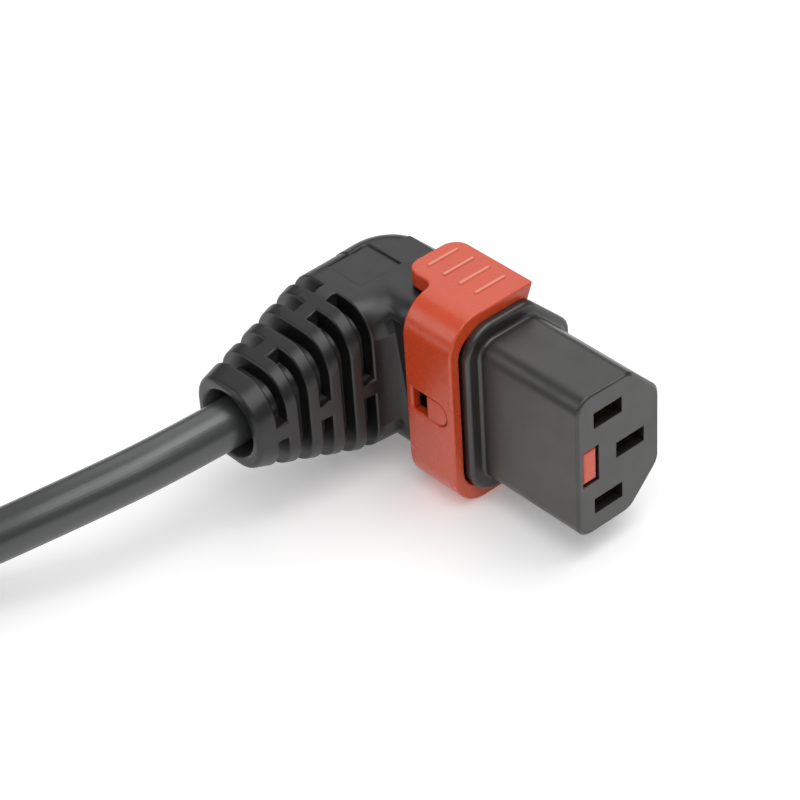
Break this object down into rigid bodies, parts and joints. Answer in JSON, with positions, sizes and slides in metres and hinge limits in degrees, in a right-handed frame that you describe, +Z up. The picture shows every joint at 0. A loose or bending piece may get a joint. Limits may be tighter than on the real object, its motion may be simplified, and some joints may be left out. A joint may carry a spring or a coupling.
{
  "type": "locking power cord",
  "caption": "Power cord with a right-angle C13 connector that locks on the earth pin and has a sliding red release collar, a slotted strain relief and a C14 plug on a tied hank.",
  "frame": {"origin": "centre of the connector's mating face", "axes": "-Y points out of the mating face, +X is the side of the earth contact and the chamfered corners, +Z is up; the cord leaves along -X"},
  "size_m": [0.1996, 0.0743, 0.0352],
  "materials": {
    "nose_plastic": "fine matte moulded",
    "soft_black": "satin soft moulding",
    "release_red": "semi-gloss moulded",
    "carrier_plastic": "plain moulded",
    "contact_brass": "plain rolled sheet",
    "copper": "bare stranded copper",
    "spring_steel": "hardened strip",
    "pin_metal": "nickel-plated",
    "line_insulation": "brown insulation",
    "neutral_insulation": "blue insulation",
    "earth_insulation": "green and yellow insulation",
    "cord_jacket": "satin extruded jacket",
    "tie_black": "plain strap"
  },
  "bodies": {
    "connector": {"nose_shell": "nose_plastic", "contact_carrier": "carrier_plastic", "elbow_overmould": "soft_black", "cord_tube": "cord_jacket", "cord_coil": "cord_jacket", "cord_tail": "cord_jacket", "coil_tie": "tie_black", "plug_shroud": "nose_plastic", "plug_overmould": "soft_black", "line_contact": "contact_brass", "line_strand": "copper", "line_core": "line_insulation", "plug_line_pin": "pin_metal", "neutral_contact": "contact_brass", "neutral_strand": "copper", "neutral_core": "neutral_insulation", "plug_neutral_pin": "pin_metal", "earth_contact": "contact_brass", "earth_strand": "copper", "earth_core": "earth_insulation", "plug_earth_pin": "pin_metal"},
    "slider": {"release_collar": "release_red", "lock_tongue": "release_red"},
    "gripper": {"lock_plate": "spring_steel"}
  },
  "joints": [
    {"name": "collar_slide", "type": "slide", "parent": "connector", "child": "slider", "axis": [0, 1, 0], "range_m": [0, 0.003], "stiffness_N_per_m": 300},
    {"name": "plate_hinge", "type": "hinge", "parent": "connector", "child": "gripper", "pos_m": [0.0053, 0.0141, 0], "axis": [0, 0, 1], "range_deg": [-18, 0]}
  ],
  "couplings": [
    {"joint": "plate_hinge", "follows": "collar_slide", "rad_per_m": -104.72}
  ]
}
